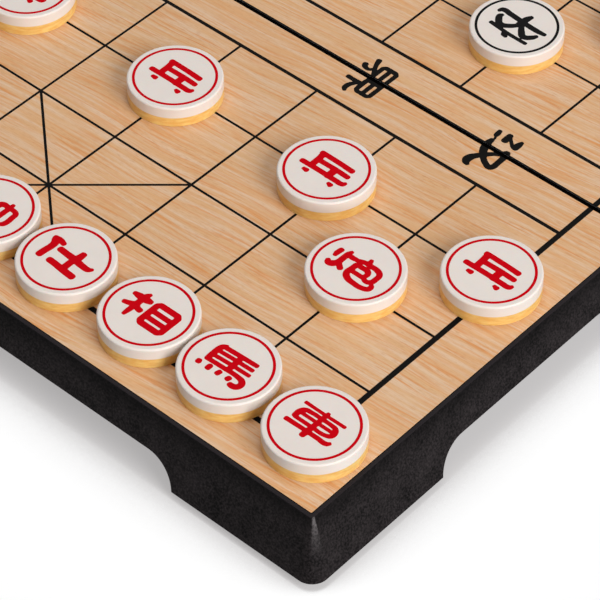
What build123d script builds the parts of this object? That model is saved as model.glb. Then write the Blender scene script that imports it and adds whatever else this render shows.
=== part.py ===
from build123d import *
import math
import os

# A folding magnetic xiangqi set, standing open with its thirty-two men set out.
# X runs along the river seam, Y across it (red side at -Y, black side at +Y), +Z up.
# The origin is on the table, under the middle of the seam.

# Printed board
piece_gap = 2.0  # between men on neighbouring files
rank_pitch = 28.45  # between the ranks of one side
river_width = 30.4  # between the two banks of the river
board_margin = 17.0  # from the outermost file to the edge of the film
film_thickness = 0.35
steel_thickness = 0.5
film_gap = 0.3  # between the film's edge and the lip around it
film_corner_radius = 0.3

# Shell mouldings
wall = 2.2
deck_thickness = 2.2
seam_gap = 2.0  # between the two halves when open
shell_height = 20.8  # from the rim up to the playing face
lip_width = 1.45  # from the edge of the film to the outside of the lip
wall_spread = 5.75  # how much further out the rim is than the lip
lip_corner_radius = 1.2
rim_corner_radius = 5.5
lip_edge_radius = 0.25

# Finger arches between the corner feet
arch_height = 8.4
arch_corner_radius = 11.0
edge_foot_length = 53.7  # along the outer edge, from the corner of the rim
end_foot_length = 55.0  # along the ends, from the corner of the rim
seam_foot_length = 14.0  # along the ends, from the seam
arch_inward = 8.0  # how far in from the rim the arch is cut

# Rubber feet, and the pockets in the other half that they nest in when the set is closed
foot_radius = 4.0
foot_recess = 0.8
foot_edge_radius = 0.5
foot_fit = 0.1
pocket_clearance = 0.7
boss_wall = 1.8
foot_end_inset = 14.2  # from the rim at the ends to the middle of the outer bosses
foot_edge_inset = 12.2  # from the rim along the outer edge to the bosses
foot_spacing = 13.0  # between a foot and the pocket beside it
foot_seam_inset = 1.8  # from the seam face to the nearest bosses

# Closing magnets in the corners away from the hinge
magnet_radius = 4.0
magnet_thickness = 3.0
magnet_fit = 0.1
magnet_spacing = 15.0  # from the inner foot bosses

# Hinges, moulded into the foot of the two seam walls, with steel wire pins
closing_gap = 0.4  # between the two rims when closed
knuckle_wall = 1.1
table_clearance = 0.2  # under the knuckles
knuckle_clearance = 0.35
knuckle_length = 8.0
knuckle_count = 5
knuckle_gap = 0.3
hinge_inset = 14.2  # from the inner foot bosses to the hinge
hinge_block_depth = 6.0
hinge_block_height = 8.0
pin_radius = 1.0
pin_clearance = 0.05
pin_end_wall = 1.2
pin_end_gap = 0.1

# Storage trays, screwed up under the decks
tray_wall = 1.6
tray_top_gap = 0.2
tray_inset = 20.2  # from the rim
tray_boss_gap = 3.0  # from the bosses beside the seam
tray_corner_radius = 6.0
ear_margin = 3.9  # around the screw
ear_reach = 6.0  # from the tray's end to the screw
ear_thickness = 1.8
screw_post_height = 6.0
screw_post_wall = 2.5

# Tray screws
screw_radius = 1.1
screw_length = 6.0
screw_head_radius = 2.0
screw_head_height = 1.4
screw_slot_width = 0.5
screw_slot_depth = 0.7
screw_fit = 0.05
screw_hole_clearance = 0.2
screw_tip_room = 0.4

# Playing pieces: a white cap on an amber base, with a magnet sealed between them
piece_radius = 15.0
base_height = 3.45
cap_height = 3.8
cap_edge_radius = 0.6
base_edge_radius = 0.15
piece_magnet_radius = 5.0
piece_magnet_thickness = 2.0
piece_magnet_fit = 0.1

# How the men stand off their points, as a hand leaves them
back_rank_forward = 4.3
soldiers_forward = -2.0
cannons_forward = 0.2
hand_placed = {
    "red_chariot_2": (0.65, 3.75),
    "red_horse_2": (-0.15, 4.35),
    "red_elephant_2": (0.65, 4.6),
    "red_advisor_2": (-0.55, 4.5),
    "red_cannon_2": (1.0, 0.25),
    "red_soldier_3": (0.4, -2.25),
    "red_soldier_4": (-1.15, -2.4),
    "red_soldier_5": (-1.0, -3.0),
    "black_soldier_4": (-0.1, -1.1),
}

# Sizes worked out from those above
knuckle_radius = pin_radius + knuckle_wall
foot_height = closing_gap / 2 + knuckle_radius + table_clearance
rim = foot_height
board_top = rim + shell_height
outer_file = 4  # files from the middle one to the outermost
back_rank = 4  # ranks from the river bank to the back one
file_pitch = 2 * piece_radius + piece_gap
deck_under = board_top - film_thickness - steel_thickness - deck_thickness
seam_half = seam_gap / 2
film_half = outer_file * file_pitch + board_margin
lip_half = film_half + lip_width
rim_half = lip_half + wall_spread
hinge_z = rim - closing_gap / 2
hinge_length = knuckle_count * knuckle_length
pocket_radius = foot_radius + pocket_clearance
pocket_depth = foot_height
foot_boss_radius = foot_radius + boss_wall
magnet_boss_radius = magnet_radius + boss_wall
outer_foot_x = rim_half - foot_end_inset
inner_foot_x = outer_foot_x - foot_spacing
seam_foot_y = seam_half + foot_seam_inset + foot_boss_radius
edge_foot_y = rim_half - foot_edge_inset
magnet_x = inner_foot_x - magnet_spacing
hinge_x = inner_foot_x - foot_boss_radius - hinge_inset - hinge_length / 2
tray_half_length = rim_half - tray_inset
tray_seam_y = seam_foot_y + foot_boss_radius + tray_boss_gap
tray_edge_y = rim_half - tray_inset
tray_top = deck_under - tray_top_gap
ear_radius = screw_radius + ear_margin
screw_post_radius = screw_radius + screw_post_wall
ear_top = deck_under - screw_post_height
ear_x = tray_half_length + ear_reach
ear_ys = [tray_seam_y + (tray_edge_y - tray_seam_y) * share for share in (0.25, 0.75)]
screw_points = [(x, y) for x in (-ear_x, ear_x) for y in ear_ys]
ear_roots = [(x - math.copysign(ear_reach / 2, x), y) for x, y in screw_points]
tray_width = tray_edge_y - tray_seam_y
well_length = 2 * (tray_half_length - tray_wall)
well_width = tray_width - 2 * tray_wall
deck_middle = deck_under + deck_thickness / 2
recess_half = film_half + film_gap
arch_drop = arch_corner_radius - arch_height  # from the rim down to the middle of an arch's corner
arch_bulge = arch_corner_radius - math.sqrt(arch_corner_radius**2 - arch_drop**2)
edge_arch_half = rim_half - edge_foot_length + arch_bulge
end_arch_start = seam_foot_length - arch_bulge
end_arch_end = rim_half - end_foot_length + arch_bulge
arch_middle_z = rim - arch_drop
magnet_recess = magnet_thickness + closing_gap / 2
magnet_points = [(-magnet_x, edge_foot_y), (magnet_x, edge_foot_y)]
block_y = seam_half + hinge_block_depth / 2
bore_starts = [centre - hinge_length / 2 + pin_end_wall for centre in (-hinge_x, hinge_x)]
pin_length = hinge_length - knuckle_gap - pin_end_wall - pin_end_gap
piece_joint = board_top + base_height

red, black = -1, 1
side_names = {red: "red_side", black: "black_side"}
foot_x = {red: outer_foot_x, black: inner_foot_x}


def wall_half(height):
    """Half the outside width of a shell at a height above the table."""
    return rim_half - wall_spread * (height - rim) / shell_height


def on_side(side, points):
    """Points given as (x, distance from the seam), placed on one side of it."""
    return [(x, side * y) for x, y in points]


def four_corners(x):
    """The four boss places of one half at this distance from its middle."""
    return [(sign * x, y) for sign in (-1, 1) for y in (seam_foot_y, edge_foot_y)]


def knuckle_starts(side):
    """Where the knuckles of one side start along X, on both hinges."""
    first = 0 if side == red else 1
    return [
        centre - hinge_length / 2 + number * knuckle_length
        for centre in (-hinge_x, hinge_x)
        for number in range(first, knuckle_count, 2)
    ]


def seam_plane(side, distance):
    """An upright plane along the seam, looking away from it, with its own Y up."""
    return Plane((0, side * distance, 0), x_dir=(-side, 0, 0), z_dir=(0, side, 0))


def half_square(side, half_width, corner_radius, seam_distance):
    """Draws one side's share of a rounded square in the open sketch."""
    RectangleRounded(2 * half_width, 2 * half_width, corner_radius)
    with Locations((0, side * (seam_distance + half_width))):
        Rectangle(2 * half_width, 2 * half_width, mode=Mode.INTERSECT)


def upright(points, radius, height, mode=Mode.ADD):
    """Cylinders in the open part, standing on the rim plane at each point."""
    with Locations([(x, y, rim) for x, y in points]):
        Cylinder(radius, height, align=(Align.CENTER, Align.CENTER, Align.MIN), mode=mode)


def along_hinge(starts, radius, length, mode=Mode.ADD):
    """Cylinders in the open part, along the hinge axis from each start."""
    lying = (0, 90, 0)
    with Locations([(start, 0, hinge_z) for start in starts]):
        Cylinder(
            radius, length, rotation=lying, align=(Align.CENTER, Align.CENTER, Align.MIN), mode=mode
        )


def make_shell(side):
    own_feet = on_side(side, four_corners(foot_x[side]))
    other_feet = on_side(side, four_corners(foot_x[-side]))
    magnets = on_side(side, magnet_points)
    posts = on_side(side, screw_points)

    with BuildPart() as shell:
        # Sloping outside, with corners that open out towards the rim
        with BuildSketch(Plane.XY.offset(rim)):
            half_square(side, rim_half, rim_corner_radius, seam_half)
        with BuildSketch(Plane.XY.offset(board_top)):
            half_square(side, lip_half, lip_corner_radius, seam_half)
        loft(ruled=True)
        top_edges = shell.faces().sort_by(Axis.Z)[-1].edges()
        fillet(top_edges.sort_by(lambda edge: abs(edge.center().Y))[1:], lip_edge_radius)

        # Hollow with the same slope, up to the deck
        with BuildSketch(Plane.XY.offset(rim)):
            half_square(side, rim_half - wall, rim_corner_radius - wall, seam_half + wall)
        with BuildSketch(Plane.XY.offset(deck_under)):
            deck_half = wall_half(deck_under) - wall
            half_square(side, deck_half, lip_corner_radius, seam_half + wall)
        loft(ruled=True, mode=Mode.SUBTRACT)

        # Recess for the steel plate and the film, open at the seam
        with BuildSketch(Plane.XY.offset(board_top)):
            with Locations((0, side * recess_half / 2)):
                Rectangle(2 * recess_half, recess_half)
        extrude(amount=-film_thickness - steel_thickness, mode=Mode.SUBTRACT)

        # Finger arch along the outer edge
        with BuildSketch(seam_plane(side, rim_half)) as edge_arch:
            with Locations((0, arch_middle_z)):
                Rectangle(2 * edge_arch_half, 2 * arch_corner_radius)
            fillet(edge_arch.vertices().group_by(Axis.Z)[-1], arch_corner_radius)
        extrude(amount=-arch_inward, mode=Mode.SUBTRACT)

        # Finger arches at both ends, cut through in one go
        with BuildSketch(Plane.YZ) as end_arches:
            with Locations((side * (end_arch_start + end_arch_end) / 2, arch_middle_z)):
                Rectangle(end_arch_end - end_arch_start, 2 * arch_corner_radius)
            fillet(end_arches.vertices().group_by(Axis.Z)[-1], arch_corner_radius)
        extrude(amount=rim_half, both=True, mode=Mode.SUBTRACT)

        # Bosses for the feet, the other half's feet, the magnets and the tray screws
        upright(own_feet + other_feet, foot_boss_radius, deck_middle - rim)
        upright(magnets, magnet_boss_radius, deck_middle - rim)
        upright(own_feet, foot_radius + foot_fit, foot_recess, mode=Mode.SUBTRACT)
        upright(other_feet, pocket_radius, pocket_depth, mode=Mode.SUBTRACT)
        upright(magnets, magnet_radius + magnet_fit, magnet_recess, mode=Mode.SUBTRACT)
        with BuildSketch(Plane.XY.offset(ear_top)):
            with Locations(posts):
                Circle(screw_post_radius)
        extrude(amount=deck_middle - ear_top)
        with BuildSketch(Plane.XY.offset(ear_top)):
            with Locations(posts):
                Circle(screw_radius + screw_fit)
        extrude(amount=screw_length - ear_thickness + screw_tip_room, mode=Mode.SUBTRACT)

        # Hinge blocks on the seam wall, cleared for the other half's knuckles
        with BuildSketch(Plane.XY.offset(rim)):
            with Locations(on_side(side, [(-hinge_x, block_y), (hinge_x, block_y)])):
                Rectangle(hinge_length, hinge_block_depth)
        extrude(amount=hinge_block_height)
        cleared = [start - knuckle_gap for start in knuckle_starts(-side)]
        cleared_length = knuckle_length + knuckle_gap
        along_hinge(cleared, knuckle_radius + knuckle_clearance, cleared_length, Mode.SUBTRACT)
        along_hinge(knuckle_starts(side), knuckle_radius, knuckle_length - knuckle_gap)
        along_hinge(bore_starts, pin_radius + pin_clearance, hinge_length, Mode.SUBTRACT)
    return shell.part


def make_steel_plate(side):
    with BuildPart() as plate:
        with BuildSketch(Plane.XY.offset(board_top - film_thickness)):
            half_square(side, film_half, film_corner_radius, seam_half)
        extrude(amount=-steel_thickness)
    return plate.part


def make_film(side):
    with BuildPart() as film:
        with BuildSketch(Plane.XY.offset(board_top)):
            half_square(side, film_half, film_corner_radius, seam_half)
        extrude(amount=-film_thickness)
    return film.part


def make_tray(side):
    middle = (0, side * (tray_seam_y + tray_edge_y) / 2)
    with BuildPart() as tray:
        with BuildSketch(Plane.XY.offset(rim)):
            with Locations(middle):
                RectangleRounded(2 * tray_half_length, tray_width, tray_corner_radius)
        extrude(amount=tray_top - rim)
        with BuildSketch(Plane.XY.offset(rim)):
            with Locations(middle):
                RectangleRounded(well_length, well_width, tray_corner_radius - tray_wall)
        extrude(amount=tray_top - rim - tray_wall, mode=Mode.SUBTRACT)

        # Ears under the screw posts
        with BuildSketch(Plane.XY.offset(ear_top)):
            with Locations(on_side(side, screw_points)):
                Circle(ear_radius)
            with Locations(on_side(side, ear_roots)):
                Rectangle(ear_reach, 2 * ear_radius)
            with Locations(on_side(side, screw_points)):
                Circle(screw_radius + screw_hole_clearance, mode=Mode.SUBTRACT)
        extrude(amount=-ear_thickness)
    return tray.part


def make_feet(side):
    points = on_side(side, four_corners(foot_x[side]))
    with BuildPart() as feet:
        with BuildSketch():
            with Locations(points):
                Circle(foot_radius)
        extrude(amount=foot_height + foot_recess)
        fillet(feet.edges().group_by(Axis.Z)[0], foot_edge_radius)
    return feet.part


def make_magnets(side):
    with BuildPart() as magnets:
        with BuildSketch(Plane.XY.offset(rim + magnet_recess)):
            with Locations(on_side(side, magnet_points)):
                Circle(magnet_radius)
        extrude(amount=-magnet_thickness)
    return magnets.part


def make_screws(side):
    points = on_side(side, screw_points)
    with BuildPart() as screws:
        with BuildSketch(Plane.XY.offset(ear_top - ear_thickness)):
            with Locations(points):
                Circle(screw_radius)
        extrude(amount=screw_length)
        with BuildSketch(Plane.XY.offset(ear_top - ear_thickness)):
            with Locations(points):
                Circle(screw_head_radius)
        extrude(amount=-screw_head_height)
        fillet(screws.edges().group_by(Axis.Z)[0], screw_head_height / 2)
        with BuildSketch(Plane.XY.offset(ear_top - ear_thickness - screw_head_height)):
            with Locations(points):
                Rectangle(screw_head_radius * 1.2, screw_slot_width)
                Rectangle(screw_slot_width, screw_head_radius * 1.2)
        extrude(amount=screw_slot_depth, mode=Mode.SUBTRACT)
    return screws.part


def make_pin(start):
    with BuildPart() as pin:
        with BuildSketch(Plane.YZ.offset(start)):
            with Locations((0, hinge_z)):
                Circle(pin_radius)
        extrude(amount=pin_length)
        chamfer(pin.edges().filter_by(GeomType.CIRCLE), pin_radius / 5)
    return pin.part


def make_piece(x, y):
    """A playing piece standing on the film: base, magnet and cap."""
    with BuildPart() as base:
        with BuildSketch(Plane.XY.offset(board_top)):
            with Locations((x, y)):
                Circle(piece_radius)
        extrude(amount=base_height)
        fillet(base.edges().group_by(Axis.Z)[0], base_edge_radius)
        with BuildSketch(Plane.XY.offset(piece_joint)):
            with Locations((x, y)):
                Circle(piece_magnet_radius + piece_magnet_fit)
        extrude(amount=-piece_magnet_thickness - piece_magnet_fit, mode=Mode.SUBTRACT)
    with BuildPart() as magnet:
        with BuildSketch(Plane.XY.offset(piece_joint - piece_magnet_fit)):
            with Locations((x, y)):
                Circle(piece_magnet_radius)
        extrude(amount=-piece_magnet_thickness)
    with BuildPart() as cap:
        with BuildSketch(Plane.XY.offset(piece_joint)):
            with Locations((x, y)):
                Circle(piece_radius)
        extrude(amount=cap_height)
        fillet(cap.edges().group_by(Axis.Z)[-1], cap_edge_radius)
    return Compound(base.part.solids() + magnet.part.solids() + cap.part.solids())


def starting_places():
    """Every man by side and name, with its file and its rank at the start of a game.

    Files count from the middle one and ranks from the river bank.
    """
    by_distance = ["general", "advisor", "elephant", "horse", "chariot"]
    for side, name in ((red, "red"), (black, "black")):
        for file in range(-outer_file, outer_file + 1):
            number = "" if file == 0 else "_1" if file < 0 else "_2"
            man = f"{name}_{by_distance[abs(file)]}{number}"
            yield side, man, file, back_rank, back_rank_forward
        for number, file in ((1, 1 - outer_file), (2, outer_file - 1)):
            yield side, f"{name}_cannon_{number}", file, 2, cannons_forward
        for number, file in enumerate(range(-outer_file, outer_file + 1, 2), start=1):
            yield side, f"{name}_soldier_{number}", file, 1, soldiers_forward


def save(shape, name):
    shape.label = name
    export_step(shape, f"parts/{name}.step")


os.makedirs("parts", exist_ok=True)

for side, side_name in side_names.items():
    save(make_shell(side), f"{side_name}_shell")
    save(make_steel_plate(side), f"{side_name}_steel_plate")
    save(make_film(side), f"{side_name}_playing_film")
    save(make_tray(side), f"{side_name}_storage_tray")
    save(make_feet(side), f"{side_name}_feet")
    save(make_magnets(side), f"{side_name}_magnets")
    save(make_screws(side), f"{side_name}_tray_screws")

for start, pin_name in zip(bore_starts, ("left_hinge_pin", "right_hinge_pin")):
    save(make_pin(start), pin_name)

for side, name, file, rank, forward in starting_places():
    nudge_x, nudge_y = hand_placed.get(name, (0, forward * -side))
    x = file * file_pitch + nudge_x
    y = side * (river_width / 2 + rank * rank_pitch) + nudge_y
    save(make_piece(x, y), name)
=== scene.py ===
import bpy
from math import hypot, radians
from mathutils import Matrix, Vector


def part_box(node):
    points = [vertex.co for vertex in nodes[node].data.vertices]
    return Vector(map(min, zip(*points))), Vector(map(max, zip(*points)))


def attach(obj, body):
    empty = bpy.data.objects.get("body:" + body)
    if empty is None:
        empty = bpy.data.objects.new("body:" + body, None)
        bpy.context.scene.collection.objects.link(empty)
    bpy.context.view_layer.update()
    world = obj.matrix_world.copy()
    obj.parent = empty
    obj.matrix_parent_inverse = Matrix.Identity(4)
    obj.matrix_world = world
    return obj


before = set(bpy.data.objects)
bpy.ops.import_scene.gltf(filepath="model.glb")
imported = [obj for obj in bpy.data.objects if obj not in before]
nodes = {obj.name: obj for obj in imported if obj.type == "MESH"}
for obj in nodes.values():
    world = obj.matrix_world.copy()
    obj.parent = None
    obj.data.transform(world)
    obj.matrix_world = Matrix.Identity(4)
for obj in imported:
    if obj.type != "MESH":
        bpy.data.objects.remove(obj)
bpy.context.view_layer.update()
bpy.ops.object.select_all(action="DESELECT")
bpy.context.tool_settings.mesh_select_mode = (False, False, True)  # faces
mm = 0.001  # flat prints are drawn in millimetres, everything else in metres
print("frame loaded:", len(nodes), "nodes")


# small helpers

def startEdit(piece):
    bpy.ops.object.select_all(action="DESELECT")
    bpy.context.view_layer.objects.active = piece
    piece.select_set(True)
    bpy.ops.object.mode_set(mode="EDIT")
    bpy.ops.mesh.select_all(action="SELECT")


def endEdit():
    bpy.ops.object.mode_set(mode="OBJECT")
    bpy.ops.object.select_all(action="DESELECT")


def cutSheet(point, normal):  # one straight cut across the whole sheet
    bpy.ops.mesh.select_all(action="SELECT")
    bpy.ops.mesh.bisect(plane_co=point, plane_no=normal)


ink = {  # millimetres
    "thickness": 0.03,
    "sink": 0.01,  # how far the ink is let into what it is printed on
}


def raiseInk():  # gives a flat print its thickness, upwards
    rise = ink["thickness"] + ink["sink"]
    bpy.ops.mesh.select_all(action="SELECT")
    bpy.ops.mesh.extrude_region_move(TRANSFORM_OT_translate={"value": (0, 0, rise)})
    bpy.ops.mesh.select_all(action="SELECT")
    bpy.ops.mesh.normals_make_consistent(inside=False)


def placeCopy(master, name, matrix, material, body):
    piece = master.copy()
    piece.data = master.data.copy()
    piece.name = piece.data.name = name
    bpy.context.scene.collection.objects.link(piece)
    piece.data.transform(matrix)
    piece.data.materials.clear()
    piece.data.materials.append(material)
    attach(piece, body)
    return piece


def filmOf(body):  # the distance from the seam to its edge, and its top
    low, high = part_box(body.replace("half", "side") + "_playing_film")
    return min(abs(low.y), abs(high.y)), high.z


def printPlace(x, y, top, degrees):  # from a print's millimetres to its place on a surface
    place = Matrix.Translation((x, y, top - ink["sink"] * mm))
    return place @ Matrix.Rotation(radians(degrees), 4, "Z") @ Matrix.Scale(mm, 4)


def joinPieces(pieces):
    bpy.ops.object.select_all(action="DESELECT")
    for piece in pieces:
        piece.select_set(True)
    bpy.context.view_layer.objects.active = pieces[0]
    bpy.ops.object.join()
    joined = bpy.context.object
    bpy.ops.object.select_all(action="DESELECT")
    return joined


def removePiece(piece):
    mesh = piece.data
    bpy.data.objects.remove(piece)
    bpy.data.meshes.remove(mesh)


# shader helpers

def tone(red, green, blue):  # a screen colour, 0 to 255, as a socket's linear colour
    def linear(value):
        value /= 255
        return value / 12.92 if value <= 0.04045 else ((value + 0.055) / 1.055) ** 2.4
    return (linear(red), linear(green), linear(blue), 1.0)


def addNode(tree, kind, values=None, **settings):
    made = tree.nodes.new(kind)
    for key, value in settings.items():
        setattr(made, key, value)
    for key, value in (values or {}).items():
        made.inputs[key].default_value = value
    return made


def addMath(tree, operation, first, second=None):
    made = addNode(tree, "ShaderNodeMath", operation=operation)
    for socket, value in zip(made.inputs, (first, second)):
        if isinstance(value, bpy.types.NodeSocket):
            tree.links.new(value, socket)
        elif value is not None:
            socket.default_value = value
    return made.outputs[0]


def addRange(tree, source, fromMin, fromMax, toMin=0.0, toMax=1.0):
    made = addNode(tree, "ShaderNodeMapRange", {
        "From Min": fromMin, "From Max": fromMax, "To Min": toMin, "To Max": toMax})
    tree.links.new(source, made.inputs["Value"])
    return made.outputs["Result"]


def addBlend(tree, factor, first, second, mode="MIX"):  # colours or sockets
    made = addNode(tree, "ShaderNodeMix", data_type="RGBA", blend_type=mode)
    for index, value in ((0, factor), (6, first), (7, second)):
        if isinstance(value, bpy.types.NodeSocket):
            tree.links.new(value, made.inputs[index])
        else:
            made.inputs[index].default_value = value
    return made.outputs[2]


def addStretchedNoise(tree, vector, stretch, detail=2.0, roughness=0.5):
    mapping = addNode(tree, "ShaderNodeMapping", {"Scale": stretch})
    tree.links.new(vector, mapping.inputs["Vector"])
    noise = addNode(tree, "ShaderNodeTexNoise", {
        "Scale": 1.0, "Detail": detail, "Roughness": roughness})
    tree.links.new(mapping.outputs["Vector"], noise.inputs["Vector"])
    return noise.outputs["Fac"]


def splitVector(tree, vector):  # sockets X, Y and Z
    made = addNode(tree, "ShaderNodeSeparateXYZ")
    tree.links.new(vector, made.inputs["Vector"])
    return made.outputs


def splitNormal(tree):
    return splitVector(tree, addNode(tree, "ShaderNodeTexCoord").outputs["Normal"])


def startMaterial(name, **sockets):
    material = bpy.data.materials.new(name)
    material.use_nodes = True
    tree = material.node_tree
    shader = tree.nodes["Principled BSDF"]
    for key, value in sockets.items():
        shader.inputs[key.replace("_", " ")].default_value = value
    coordinates = addNode(tree, "ShaderNodeTexCoord").outputs["Object"]
    return material, tree, shader, coordinates


def startGroup(name, inputs, outputs):
    group = bpy.data.node_groups.new(name, "ShaderNodeTree")
    for label, kind, value in inputs:
        socket = group.interface.new_socket(name=label, in_out="INPUT", socket_type=kind)
        if value is not None:
            socket.default_value = value
    for label, kind in outputs:
        group.interface.new_socket(name=label, in_out="OUTPUT", socket_type=kind)
    return group, addNode(group, "NodeGroupInput"), addNode(group, "NodeGroupOutput")


def useGroup(tree, group, vector, values):
    made = addNode(tree, "ShaderNodeGroup", node_tree=group)
    for key, value in values.items():
        if isinstance(value, bpy.types.NodeSocket):
            tree.links.new(value, made.inputs[key])
        else:
            made.inputs[key].default_value = value
    tree.links.new(vector, made.inputs["Vector"])
    return made


def addBump(tree, shader, height, strength, distance):
    bump = addNode(tree, "ShaderNodeBump", {"Strength": strength, "Distance": distance})
    tree.links.new(height, bump.inputs["Height"])
    tree.links.new(bump.outputs["Normal"], shader.inputs["Normal"])


def useFinish(tree, shader, color, effect):
    tree.links.new(color, shader.inputs["Base Color"])
    tree.links.new(effect.outputs["Roughness"], shader.inputs["Roughness"])


def dress(names, material):
    for name in names:
        nodes[name].material_slots[0].material = material


# effects that several finishes share

speckle = {
    "fineDetail": 5.0,
    "fineRoughness": 0.7,
    "fineRange": (0.41, 0.63),
    "fineShare": 0.72,
    "cloudScale": 0.09,  # beside the fine grain's scale
    "cloudDetail": 2.0,
    "cloudRange": (0.3, 0.7),
    "cloudShare": 0.28,
    "polish": 0.12,  # how much less rough the palest specks are
}


def makeSpeckleGroup():  # the fine sparkle of a moulded matte grain
    group, given, result = startGroup(
        "mouldedSpeckle",
        [("Vector", "NodeSocketVector", None), ("Grain Size", "NodeSocketFloat", 0.0004),
         ("Dark", "NodeSocketColor", None), ("Light", "NodeSocketColor", None),
         ("Roughness", "NodeSocketFloat", 0.6)],
        [("Color", "NodeSocketColor"), ("Roughness", "NodeSocketFloat"),
         ("Height", "NodeSocketFloat")])
    scale = addMath(group, "DIVIDE", 1.0, given.outputs["Grain Size"])
    fine = addNode(group, "ShaderNodeTexNoise", {
        "Detail": speckle["fineDetail"], "Roughness": speckle["fineRoughness"]})
    broad = addNode(group, "ShaderNodeTexNoise", {"Detail": speckle["cloudDetail"]})
    group.links.new(given.outputs["Vector"], fine.inputs["Vector"])
    group.links.new(given.outputs["Vector"], broad.inputs["Vector"])
    group.links.new(scale, fine.inputs["Scale"])
    group.links.new(addMath(group, "MULTIPLY", scale, speckle["cloudScale"]),
                    broad.inputs["Scale"])
    speck = addRange(group, fine.outputs["Fac"], *speckle["fineRange"])
    cloud = addRange(group, broad.outputs["Fac"], *speckle["cloudRange"])
    amount = addMath(group, "ADD", addMath(group, "MULTIPLY", speck, speckle["fineShare"]),
                     addMath(group, "MULTIPLY", cloud, speckle["cloudShare"]))
    group.links.new(addBlend(group, amount, given.outputs["Dark"], given.outputs["Light"]),
                    result.inputs["Color"])
    lessRough = addMath(group, "MULTIPLY", speck, speckle["polish"])
    group.links.new(addMath(group, "SUBTRACT", given.outputs["Roughness"], lessRough),
                    result.inputs["Roughness"])
    group.links.new(fine.outputs["Fac"], result.inputs["Height"])
    return group


mottle = {
    "detail": 4.0,
    "roughness": 0.55,
    "range": (0.3, 0.7),
}


def makeMottleGroup():  # slow, faint drift of colour and gloss on a cast or printed surface
    group, given, result = startGroup(
        "faintMottle",
        [("Vector", "NodeSocketVector", None), ("Color", "NodeSocketColor", None),
         ("Patch Size", "NodeSocketFloat", 0.004), ("Amount", "NodeSocketFloat", 0.05),
         ("Roughness", "NodeSocketFloat", 0.4)],
        [("Color", "NodeSocketColor"), ("Roughness", "NodeSocketFloat"),
         ("Height", "NodeSocketFloat")])
    scale = addMath(group, "DIVIDE", 1.0, given.outputs["Patch Size"])
    patches = addNode(group, "ShaderNodeTexNoise", {
        "Detail": mottle["detail"], "Roughness": mottle["roughness"]})
    group.links.new(given.outputs["Vector"], patches.inputs["Vector"])
    group.links.new(scale, patches.inputs["Scale"])
    swing = addRange(group, patches.outputs["Fac"], *mottle["range"], -1.0, 1.0)
    drift = addMath(group, "MULTIPLY", swing, given.outputs["Amount"])
    shade = addNode(group, "ShaderNodeHueSaturation")
    group.links.new(given.outputs["Color"], shade.inputs["Color"])
    group.links.new(addMath(group, "ADD", drift, 1.0), shade.inputs["Value"])
    group.links.new(shade.outputs["Color"], result.inputs["Color"])
    group.links.new(addMath(group, "ADD", given.outputs["Roughness"], drift),
                    result.inputs["Roughness"])
    group.links.new(patches.outputs["Fac"], result.inputs["Height"])
    return group


rolling = {
    "markScale": (60, 4000, 4000),  # marks in a metre, along and across
    "markDetail": 3.0,
    "markRoughness": 0.6,
    "markRange": (0.3, 0.7),
    "markGloss": (-0.06, 0.1),
    "stainScale": (90, 140, 140),
    "stainDetail": 3.0,
    "stainRange": (0.35, 0.75),
    "stainShare": (0.0, 0.35),
    "stainTone": (0.12, 0.12, 0.125, 1.0),
}


def makeBrushedGroup():  # long fine rolling marks on metal
    group, given, result = startGroup(
        "rolledMetal",
        [("Vector", "NodeSocketVector", None), ("Color", "NodeSocketColor", None),
         ("Roughness", "NodeSocketFloat", 0.3)],
        [("Color", "NodeSocketColor"), ("Roughness", "NodeSocketFloat"),
         ("Height", "NodeSocketFloat")])
    marks = addStretchedNoise(group, given.outputs["Vector"], rolling["markScale"],
                              rolling["markDetail"], rolling["markRoughness"])
    stains = addStretchedNoise(group, given.outputs["Vector"], rolling["stainScale"],
                               rolling["stainDetail"])
    stained = addRange(group, stains, *rolling["stainRange"], *rolling["stainShare"])
    darker = addBlend(group, stained, given.outputs["Color"], rolling["stainTone"])
    group.links.new(darker, result.inputs["Color"])
    rougher = addRange(group, marks, *rolling["markRange"], *rolling["markGloss"])
    group.links.new(addMath(group, "ADD", given.outputs["Roughness"], rougher),
                    result.inputs["Roughness"])
    group.links.new(marks, result.inputs["Height"])
    return group


speckleGroup = makeSpeckleGroup()
mottleGroup = makeMottleGroup()
brushedGroup = makeBrushedGroup()
print("shared effects ready")


# playing film: an oak print, satin, with its grain along the river

oak = {
    "base": tone(214, 171, 126),
    "pale": tone(219, 188, 158),
    "orange": tone(211, 143, 82),
    "pore": tone(188, 127, 76),
    "edge": tone(30, 26, 24),  # painted shade: the colour of the film's upright cut edges, as in the seam's shadow
    "edgeTurn": (0.3, 0.7),  # how upright the surface is, from the painted-shade edge to the print
    "slant": -4.0,  # degrees that the grain runs off the river's line
    "warpScale": (16, 26, 0),
    "warpReach": 0.0035,  # metres
    "driftLength": 0.30,  # metres along the grain, as every length here
    "driftWidth": 0.02,
    "driftRange": (0.35, 0.65),
    "driftShare": 0.25,
    "paleLength": 0.036,
    "paleWidth": 0.0017,
    "paleRange": (0.42, 0.62),
    "paleShare": 0.75,
    "gatherSpread": 2,  # where streaks gather, beside the width of the pale ones
    "gatherRange": (0.3, 0.7),
    "gatherLeast": 0.35,
    "streakLength": 0.02,
    "streakWidth": 0.0008,
    "streakRange": (0.5, 0.64),
    "poreLength": 0.0024,
    "poreWidth": 0.00028,
    "poreRange": (0.5, 0.7),
    "poreShare": 0.55,
    "hairSpread": 1.5,  # beside the pores' width
    "hairRange": (0.4, 0.6),
    "hairShade": 0.018,
    "patch": 0.03,
    "patchAmount": 0.02,
    "roughness": 0.42,
    "specular": 0.35,
    "bump": (0.06, 0.00005),  # strength and depth
}


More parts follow.
